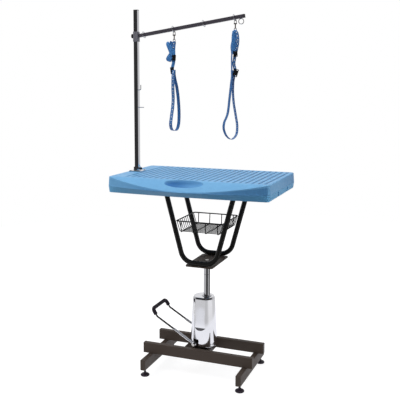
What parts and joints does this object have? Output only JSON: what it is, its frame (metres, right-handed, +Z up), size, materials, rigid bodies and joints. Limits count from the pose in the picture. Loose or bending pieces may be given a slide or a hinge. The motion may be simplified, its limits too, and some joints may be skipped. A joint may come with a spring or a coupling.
{
  "type": "hydraulic grooming table",
  "caption": "Animal grooming table with a ribbed moulded top on a foot-pumped swivelling column, tube base, wire basket, and a post with a tilted arm and nooses.",
  "frame": {"origin": "on the floor, under the centre of the whole object's bounding box; the column's axis stands at x 0.020, y 0.046", "axes": "+X along the top's length away from the post, +Y towards the back (the bowed front edge faces -Y), +Z up"},
  "size_m": [0.908, 0.636, 2.064],
  "materials": {
    "tube_dark": "dark grey-brown powder coat, fine texture",
    "tube_black": "black powder coat",
    "cast_dark": "black paint on cast iron",
    "chrome": "bright chrome plate",
    "steel": "machined steel",
    "zinc": "zinc-plated fasteners",
    "seal_rubber": "matt black rubber",
    "foot_plastic": "moulded black plastic",
    "cap_plastic": "moulded black plastic",
    "top_blue": "moulded blue polymer, fine texture",
    "clamp_grey": "grey cast clamp",
    "arm_black": "black powder coat",
    "webbing_blue": "woven blue webbing with a light pattern",
    "knob_black": "moulded black plastic",
    "basket_black": "black coated wire"
  },
  "bodies": {
    "base": {"long_rail_front": "tube_dark", "long_rail_rear": "tube_dark", "cross_rail_left": "tube_dark", "cross_rail_right": "tube_dark", "rail_end_caps": "cap_plastic", "foot_inserts": "steel", "pump_mounting_plate": "tube_dark", "pump_body": "cast_dark", "pump_bolts": "zinc", "pump_cylinder": "steel", "gland_nut": "steel", "rod_seal": "seal_rubber", "pump_cover": "chrome", "plunger_spring": "steel"},
    "foot_front_left_body": {"foot_front_left": "foot_plastic"},
    "foot_rear_left_body": {"foot_rear_left": "foot_plastic"},
    "foot_front_right_body": {"foot_front_right": "foot_plastic"},
    "foot_rear_right_body": {"foot_rear_right": "foot_plastic"},
    "plunger": {"pump_plunger": "steel"},
    "pedal": {"pedal_shaft": "steel", "rocker": "steel", "pedal_arms": "chrome", "pedal_rod": "tube_black", "pedal_grip": "seal_rubber", "pedal_bolts": "zinc"},
    "lift": {"piston_head": "steel", "piston_seal": "seal_rubber", "piston_rod": "chrome", "thrust_washer": "steel"},
    "turntable": {"yoke_plate": "tube_dark", "yoke_hub": "chrome", "yoke_bolt": "zinc", "u_leg_front": "tube_black", "u_leg_rear": "tube_black", "top_subframe": "tube_black", "top_screws": "zinc", "tabletop": "top_blue", "wire_basket": "basket_black", "post_flange": "clamp_grey", "flange_screws": "zinc"},
    "lock_screw": {"post_lock_screw": "knob_black"},
    "post_assembly": {"post": "chrome", "post_cap": "cap_plastic", "post_hooks": "chrome"},
    "arm_assembly": {"arm_clamp": "clamp_grey", "arm": "arm_black", "arm_end_cap": "cap_plastic", "arm_rings": "chrome"},
    "clamp_knob_body": {"clamp_knob": "knob_black"},
    "noose_left": {"noose_left_snap_hook": "chrome", "noose_left_ring": "chrome", "noose_left_strap": "webbing_blue"},
    "noose_left_gate_body": {"noose_left_gate": "chrome"},
    "noose_left_slider_body": {"noose_left_slider": "cap_plastic"},
    "noose_right": {"noose_right_snap_hook": "chrome", "noose_right_ring": "chrome", "noose_right_strap": "webbing_blue"},
    "noose_right_gate_body": {"noose_right_gate": "chrome"},
    "noose_right_slider_body": {"noose_right_slider": "cap_plastic"}
  },
  "joints": [
    {"name": "foot_front_left_turn", "type": "hinge", "parent": "base", "child": "foot_front_left_body", "pos_m": [-0.276, -0.162, 0.04], "axis": [0, 0, 1], "continuous": true},
    {"name": "foot_rear_left_turn", "type": "hinge", "parent": "base", "child": "foot_rear_left_body", "pos_m": [-0.276, 0.244, 0.04], "axis": [0, 0, 1], "continuous": true},
    {"name": "foot_front_right_turn", "type": "hinge", "parent": "base", "child": "foot_front_right_body", "pos_m": [0.288, -0.162, 0.04], "axis": [0, 0, 1], "continuous": true},
    {"name": "foot_rear_right_turn", "type": "hinge", "parent": "base", "child": "foot_rear_right_body", "pos_m": [0.288, 0.244, 0.04], "axis": [0, 0, 1], "continuous": true},
    {"name": "pedal_press", "type": "hinge", "parent": "base", "child": "pedal", "pos_m": [-0.023, 0.046, 0.178], "axis": [0, -1, 0], "range_deg": [0, 24]},
    {"name": "plunger_stroke", "type": "slide", "parent": "base", "child": "plunger", "axis": [0, 0, -1], "range_m": [0, 0.0101], "deforming": ["plunger_spring"]},
    {"name": "lift_slide", "type": "slide", "parent": "base", "child": "lift", "axis": [0, 0, 1], "range_m": [-0.12, 0.08]},
    {"name": "top_swivel", "type": "hinge", "parent": "lift", "child": "turntable", "pos_m": [0.02, 0.046, 0.6], "axis": [0, 0, 1], "continuous": true},
    {"name": "lock_screw_turn", "type": "hinge", "parent": "turntable", "child": "lock_screw", "pos_m": [-0.39, 0.034, 1.16], "axis": [1, 0, 0], "range_deg": [0, 180]},
    {"name": "post_height", "type": "slide", "parent": "turntable", "child": "post_assembly", "axis": [0, 0, 1], "range_m": [0, 0.05]},
    {"name": "arm_height", "type": "slide", "parent": "post_assembly", "child": "arm_assembly", "axis": [0, 0, 1], "range_m": [-0.19, 0.1]},
    {"name": "clamp_knob_turn", "type": "hinge", "parent": "arm_assembly", "child": "clamp_knob_body", "pos_m": [-0.428, 0.034, 1.918], "axis": [-1, 0, 0], "range_deg": [0, 180]},
    {"name": "noose_left_swing", "type": "hinge", "parent": "arm_assembly", "child": "noose_left", "pos_m": [-0.1758, 0.034, 1.93106], "axis": [0, 1, 0], "range_deg": [-18, 18]},
    {"name": "noose_left_gate_open", "type": "hinge", "parent": "noose_left", "child": "noose_left_gate_body", "pos_m": [-0.1818, 0.034, 1.91756], "axis": [0, 1, 0], "range_deg": [0, 25], "stiffness_Nm_per_rad": 0.02},
    {"name": "noose_left_slider_slide", "type": "slide", "parent": "noose_left", "child": "noose_left_slider_body", "axis": [0, 0, 1], "range_m": [-0.02, 0.025]},
    {"name": "noose_right_swing", "type": "hinge", "parent": "arm_assembly", "child": "noose_right", "pos_m": [0.1812, 0.034, 1.9825], "axis": [0, 1, 0], "range_deg": [-18, 18]},
    {"name": "noose_right_gate_open", "type": "hinge", "parent": "noose_right", "child": "noose_right_gate_body", "pos_m": [0.1752, 0.034, 1.969], "axis": [0, 1, 0], "range_deg": [0, 25], "stiffness_Nm_per_rad": 0.02},
    {"name": "noose_right_slider_slide", "type": "slide", "parent": "noose_right", "child": "noose_right_slider_body", "axis": [0, 0, 1], "range_m": [-0.02, 0.055]}
  ],
  "couplings": [
    {"joint": "plunger_stroke", "follows": "pedal_press", "m_per_rad": 0.024}
  ]
}
